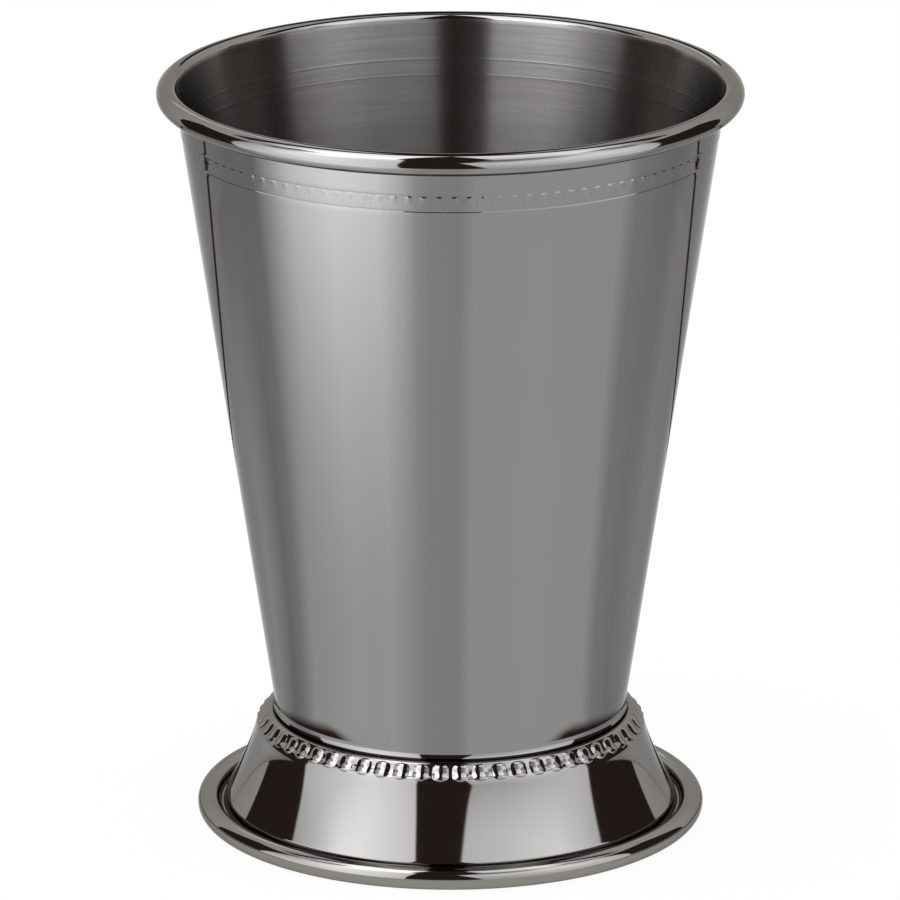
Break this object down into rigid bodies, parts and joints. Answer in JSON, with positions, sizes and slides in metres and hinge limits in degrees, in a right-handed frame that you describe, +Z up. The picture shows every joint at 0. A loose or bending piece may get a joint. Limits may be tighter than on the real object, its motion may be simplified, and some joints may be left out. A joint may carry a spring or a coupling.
{
  "type": "julep cup",
  "caption": "Tapered metal julep cup in dark mirror plate, with a curled lip, a fine rolled band below it and a beaded, flared foot.",
  "frame": {"origin": "middle of the ring that the foot stands on", "axes": "+Z up along the axis of the cup, X and Y alike"},
  "size_m": [0.0888, 0.0888, 0.116],
  "materials": {
    "gunmetal_plate": "black nickel plate over polished sheet metal, mirror outside and finely brushed inside the cup",
    "soft_solder": "solder under black nickel plate, bright in the fillet above the shoulder and dull inside the foot"
  },
  "bodies": {
    "root": {"cup_body": "gunmetal_plate", "foot": "gunmetal_plate", "bead_band": "gunmetal_plate", "solder_ring": "soft_solder"}
  },
  "joints": []
}
